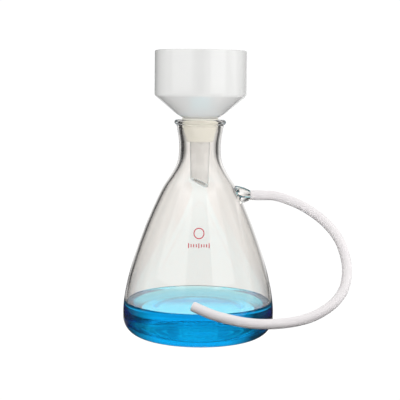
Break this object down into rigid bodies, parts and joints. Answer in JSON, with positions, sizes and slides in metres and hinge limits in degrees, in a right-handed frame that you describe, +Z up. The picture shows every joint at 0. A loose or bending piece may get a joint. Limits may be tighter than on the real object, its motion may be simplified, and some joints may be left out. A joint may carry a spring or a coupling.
{
  "type": "buchner filtration flask",
  "caption": "Glass suction flask with fused side arm, rubber adapter, porcelain filter funnel with plate and paper, a little blue liquid and a vacuum hose.",
  "frame": {"origin": "centre of the flask's foot, on the surface that it stands on", "axes": "+Z up along the flask's axis, +X along the side arm, -Y towards the viewer"},
  "size_m": [0.3285, 0.246, 0.4163],
  "materials": {
    "clear_glass": "clear polished borosilicate glass",
    "blue_liquid": "clear blue water solution",
    "cream_rubber": "smooth moulded rubber, satin",
    "glazed_porcelain": "glossy white glaze",
    "filter_paper": "matt fibrous paper",
    "white_rubber": "smooth extruded rubber, satin",
    "red_print": "fired enamel print"
  },
  "bodies": {
    "flask": {"flask_base": "clear_glass", "flask_wall": "clear_glass", "flask_neck": "clear_glass", "side_arm": "clear_glass", "liquid": "blue_liquid"},
    "adapter": {"adapter": "cream_rubber"},
    "funnel": {"funnel_body": "glazed_porcelain", "perforated_plate": "glazed_porcelain"},
    "paper": {"filter_paper": "filter_paper"},
    "hose": {"hose_cuff": "white_rubber", "hose_run": "white_rubber", "hose_tail": "white_rubber"}
  },
  "joints": [
    {"name": "adapter_lift", "type": "slide", "parent": "flask", "child": "adapter", "axis": [0, 0, 1], "range_m": [0, 0.12]},
    {"name": "funnel_lift", "type": "slide", "parent": "adapter", "child": "funnel", "axis": [0, 0, 1], "range_m": [0, 0.12]},
    {"name": "paper_lift", "type": "slide", "parent": "funnel", "child": "paper", "axis": [0, 0, 1], "range_m": [0, 0.08]},
    {"name": "hose_pull", "type": "slide", "parent": "flask", "child": "hose", "axis": [1, 0, 0], "range_m": [0, 0.045]}
  ]
}
